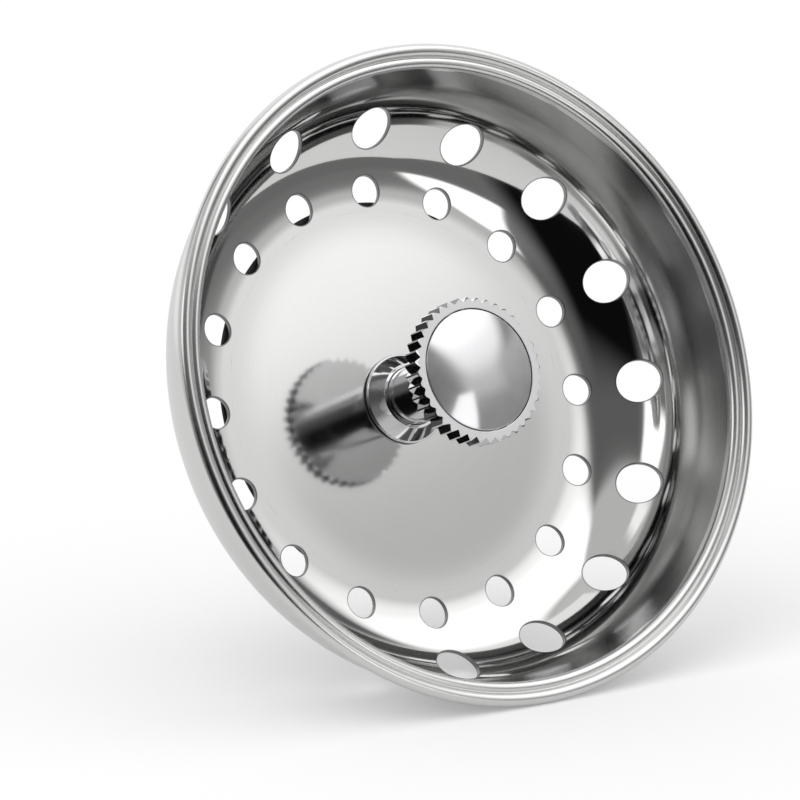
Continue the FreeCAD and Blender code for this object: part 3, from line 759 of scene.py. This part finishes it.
# Knob: a brass disc with a coarse straight knurl of pointed teeth, chromed, with a satin front land. It is
# bored for the stem's spigot and the screw, and counterbored for its cap.
cap_low, cap_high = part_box("knob_cap")
knurl_teeth = 40
knurl_depth = 0.0006
knurl_width = 0.0012
knob_bevel = 0.0002
knurl_edge = 0.00004
cap_radius = cap_high.x
cap_groove = 0.00012
land_skin = 0.00006
land_marks = 0.00002
spigot_room = 0.00005
knurl_half = math.pi / knurl_teeth
tooth_half = knurl_half - math.atan(knurl_width / 2 / knob_high.x)
knob_chrome, shader, spot = new_finish("knob_chrome", 1)
x, y, z = spot.split()
reach = (x * x + y * y) ** 0.5
on_front = z.rise(knob_high.z - land_skin, knob_high.z - land_skin / 3)
land = on_front * reach.rise(cap_radius, cap_radius + cap_groove)
marks = (reach / grain_pitch).joined(z / grain_pitch, 0).noise(1, 2)
smears = spot.noise(160, 3)
(0.06 + 0.22 * land + 0.05 * (marks - 0.5) + 0.04 * (smears - 0.5)).feed(shader, "Roughness")
smears.tint((0.74, 0.74, 0.75), (0.8, 0.8, 0.81)).feed(shader, "Base Color")
(marks * (0.05 + land)).bump(0.08, land_marks).feed(shader, "Normal")
knurl_root = knob_high.x - knurl_depth
knurl_profile = round_profile([(knurl_root, -knurl_half), (knob_high.x, -tooth_half),
                               (knob_high.x, tooth_half), (knurl_root, knurl_half)], knurl_edge)
mouth = cap_radius + cap_groove
spigot_hole = spigot_radius + spigot_room
spigot_end = stem_high.z + spigot_room
knob_bore = rounded([(mouth + 2 * turned_edge, knob_high.z), (mouth, knob_high.z), (mouth, cap_low.z),
                     (screw_hole, cap_low.z), (screw_hole, spigot_end), (spigot_hole, spigot_end),
                     (spigot_hole, knob_low.z), (spigot_hole + 2 * turned_edge, knob_low.z)],
                    turned_edge, closed=False)
knob_patches = toothed(knurl_profile, knob_low.z, knob_high.z, knob_high.x - knob_bevel, 1, knob_bore)
round_piece("knurled_knob", knob_patches, knurl_teeth, knob_chrome, "knob", "knob")

# Knob screw: a plain steel socket screw. It goes through the knob's web into the stem's tapped hole, and
# the cap hides it.
screw_radius = 0.002
socket_flats = 0.0025
socket_depth = 0.00075
screw_run = rounded([(0, screw_low.z), (screw_radius, screw_low.z), (screw_radius, cap_low.z),
                     (screw_high.x, cap_low.z), (screw_high.x, screw_high.z), (socket_flats, screw_high.z)],
                    turned_edge, closed=False)
socket_turns = np.linspace(-math.pi / 6, math.pi / 6, 13)
socket_edge = [(socket_flats / 2 / math.cos(turn), turn) for turn in socket_turns]
socket_floor = screw_high.z - socket_depth
screw_patches = [
    turned(screw_run, socket_turns),
    [[(socket_flats, turn, screw_high.z, 0, 0, 1) for turn in socket_turns],
     [(*place, screw_high.z, 0, 0, 1) for place in socket_edge]],
    [[(*place, height, -math.cos(place[1]), math.sin(place[1]), 0) for place in socket_edge]
     for height in (screw_high.z, socket_floor)],
    [[(*place, socket_floor, 0, 0, 1) for place in socket_edge],
     [(0, turn, socket_floor, 0, 0, 1) for turn in socket_turns]]]
round_piece("socket_screw", screw_patches, 6, fixing_steel, "knob", "knob_screw")

# Knob cap: a thin pressed dome, polished and chromed, with a faint haze. It is pushed into the knob's
# counterbore over the screw, and a fine groove shows round it.
cap_wall = 0.0007
cap_edge = 0.00015
cap_rise = cap_high.z - knob_high.z
cap_ball = (cap_radius ** 2 + cap_rise ** 2) / (2 * cap_rise)
cap_middle = (0, cap_high.z - cap_ball)
cap_room = cap_radius - cap_wall
ceiling_edge = math.acos(cap_room / (cap_ball - cap_wall))
crown_edge = math.acos((cap_radius - 2 * cap_edge) / cap_ball)
ceiling = bend(cap_middle, cap_ball - cap_wall, math.pi / 2, ceiling_edge, 12, -1)
crown = bend(cap_middle, cap_ball, crown_edge, math.pi / 2, 24)
skirt = rounded([ceiling[-1][:2], (cap_room, cap_low.z), (cap_radius, cap_low.z), (cap_radius, knob_high.z),
                 crown[0][:2]], cap_edge, closed=False)
dome_chrome = chrome("dome_chrome", 0.1)
nodes = dome_chrome.node_tree.nodes
hazy = nodes.new("ShaderNodeBsdfPrincipled")
hazy.inputs["Metallic"].default_value = 1
spot = Flow(dome_chrome.node_tree, nodes.new("ShaderNodeTexCoord").outputs["Object"])
haze = spot.noise(300, 3)
haze.tint((0.78, 0.78, 0.79), (0.86, 0.86, 0.87)).feed(hazy, "Base Color")
(0.45 + 0.15 * haze).feed(hazy, "Roughness")
dome_finish = spot.node("ShaderNodeMixShader", {}, {"Fac": 0.24 + 0.12 * haze,
                                                    1: Flow(spot.tree, nodes["Principled BSDF"].outputs[0]),
                                                    2: Flow(spot.tree, hazy.outputs[0])})
dome_finish.feed(nodes["Material Output"], "Surface")
cap_patches = [turned(ceiling, spokes), turned(skirt[:-1] + crown, spokes)]
round_piece("domed_cap", cap_patches, hole_count, dome_chrome, "knob", "knob_cap")

# Camera: a long lens at the photograph's place. The strainer lies on its side on the table, on its rim and
# its round corner, so the table's upward direction is given in the strainer's own frame.
table_up = Vector((-0.0680, 0.9212, 0.3832)).normalized()
aim = Vector((-0.00278, -0.00064, 0.01804))
camera_turn = math.radians(194.82)
camera_rise = math.radians(55.54)
camera_distance = 0.7848
camera_lens = 288.94
camera_sensor = 36
camera = bpy.data.objects.new("camera", bpy.data.cameras.new("camera"))
scene.collection.objects.link(camera)
camera.data.sensor_width = camera_sensor
camera.data.lens = camera_lens
back = Vector((math.cos(camera_turn) * math.cos(camera_rise), math.sin(camera_turn) * math.cos(camera_rise),
               math.sin(camera_rise)))
right = table_up.cross(back).normalized()
up = back.cross(right)
camera_axes = Matrix((right, up, back)).transposed().to_4x4()
camera.matrix_world = Matrix.Translation(aim + back * camera_distance) @ camera_axes
scene.camera = camera

# Table: a sheet of white paper, lit a little from beneath so that shadows on it stay pale. It runs back
# from the strainer, with its near and right edges not far away. It is seen from above only, so views from
# below look through it.
table_reach = -0.02628
table_right = 0.18
table_left = 0.6
table_near = 0.088
table_far = 2
away = table_up.cross(right)
paper_mirrored = 0.78
paper_glow = 0.22
table_middle = aim + table_up * (table_reach - aim.dot(table_up))
table = bpy.data.objects.new("table", bpy.data.meshes.new("table"))
scene.collection.objects.link(table)
table.data.from_pydata([table_middle + right * across - away * along
                        for across, along in ((-table_left, table_near), (table_right, table_near),
                                              (table_right, -table_far), (-table_left, -table_far))],
                       [], [(0, 1, 2, 3)])
paper = bpy.data.materials.new("paper")
paper.use_nodes = True
nodes = paper.node_tree.nodes
nodes.remove(nodes["Principled BSDF"])
behind = Flow(paper.node_tree, nodes.new("ShaderNodeNewGeometry").outputs["Backfacing"])
mirrored = Flow(paper.node_tree, nodes.new("ShaderNodeLightPath").outputs["Is Glossy Ray"])
level = 1 - mirrored * (1 - paper_mirrored)
lit = behind.node("ShaderNodeBsdfDiffuse", {}, {"Color": level * (1 - paper_glow)})
glow = behind.node("ShaderNodeEmission", {}, {"Color": level, "Strength": paper_glow})
white = behind.node("ShaderNodeAddShader", {}, {0: lit, 1: glow})
clear = behind.node("ShaderNodeBsdfTransparent", {}, {})
one_sided = behind.node("ShaderNodeMixShader", {}, {"Fac": behind, 1: white, 2: clear})
one_sided.feed(nodes["Material Output"], "Surface")
table.data.materials.append(paper)

# Studio: soft light from all round, and a softbox in front on the left that only the table shows, by its
# shadow. The metal mirrors the room: lamps, a pale ceiling, the dark room behind the camera, and white
# elsewhere.
plain_level = 0.86
key_level = 0.17
key_heading = 40
key_height = 45
key_spread = 60
studio = bpy.data.worlds.new("studio")
scene.world = studio
studio.use_nodes = True
studio.cycles.sampling_method = "NONE"
nodes = studio.node_tree.nodes
way = Flow(studio.node_tree, nodes.new("ShaderNodeTexCoord").outputs["Generated"])
across, along, above = (way.node("ShaderNodeVectorMath", {"operation": "DOT_PRODUCT"}, {0: way, 1: side},
                                 "Value") for side in (right, away, table_up))
heading = across.maths("ARCTAN2", across * -1, along * -1) * (180 / math.pi)
height = above.maths("ARCSINE", above) * (180 / math.pi)


def panel(start, finish, bottom, top, soft, start_lean=0, finish_lean=0, fade=0):
    """How far a direction is inside a part of the room, from 0 to 1: between two headings, which may lean
    with the height above the part's foot, and between two heights, the lower of which may fade in slowly."""
    past_start = heading - (height - bottom) * start_lean
    past_finish = heading - (height - bottom) * finish_lean
    wide = past_start.rise(start - soft, start + soft) * (1 - past_finish.rise(finish - soft, finish + soft))
    foot = max(soft, fade)
    return wide * height.rise(bottom - foot, bottom + foot) * (1 - height.rise(top - soft, top + soft))


right_wall = panel(-135, -50, 12, 60, 12)
lit_wall = panel(-84, -56, 13, 60, 5)
doorway = panel(-114, -97, 26, 58, 3, -1.3, -1.3)
softbox_foot = panel(-89, -59, 25, 75, 7, -1.4, 0.7, 7)
softbox = panel(-107, -53, 38, 75, 7, -1.4, 1.05)
ceiling_light = panel(-200, 200, 78, 120, 3)
front_ceiling = panel(-36, 82, 49, 78, 4)
ceiling_lamp = panel(43, 66, 54, 67, 4)
dim_room = panel(-55, 24, 14, 46, 6, 0.5)
dark_room = panel(-33, 29, -60, 26, 9)
left_lamp = panel(29, 58, 27, 48, 3.5)
low_lamp = panel(-60, -37, -3, 16, 1.2, 0, -0.7)
right_ground = panel(-112, -37, -90, -5, 4)
right_stand = panel(-109, -100, -8, 6, 2)
far_right = panel(-200, -113, -90, 30, 6)
far_left = panel(62, 200, -90, 46, 6)
backdrop = 1 - panel(-125, 120, -100, 100, 8)
room_level = 0.2
room = way.maths("ADD", room_level, 0)
for level, share in ((0.42, right_wall), (0.6, lit_wall), (0.12, doorway), (1.2, softbox_foot),
                     (1.6, softbox), (0.65, ceiling_light), (0.58, front_ceiling), (1.15, ceiling_lamp),
                     (0.13, dim_room), (0.004, dark_room), (1.6, left_lamp), (1.6, low_lamp),
                     (0.17, right_ground), (0.08, right_stand), (0.6, far_right), (0.65, far_left),
                     (1.0, backdrop)):
    room = room + (level - room) * share
rays = nodes.new("ShaderNodeLightPath")
to_camera, through, mirrored = (Flow(studio.node_tree, rays.outputs[kind])
                                for kind in ("Is Camera Ray", "Is Transmission Ray", "Is Glossy Ray"))
seen = to_camera + through
(seen + mirrored * room + (1 - seen - mirrored) * plain_level).feed(nodes["Background"], "Strength")
nodes["Background"].inputs["Color"].default_value = (1, 1, 1, 1)
key = bpy.data.objects.new("key", bpy.data.lights.new("key", "SUN"))
scene.collection.objects.link(key)
key.data.energy = key_level * math.pi / math.sin(math.radians(key_height))
key.data.angle = math.radians(key_spread)
key.visible_glossy = False
key_way = Vector((-math.sin(math.radians(key_heading)), -math.cos(math.radians(key_heading)),
                  math.tan(math.radians(key_height))))
key_from = right * key_way.x + away * key_way.y + table_up * key_way.z
key.rotation_euler = key_from.to_track_quat("Z", "Y").to_euler()

scene.view_settings.view_transform = "Standard"
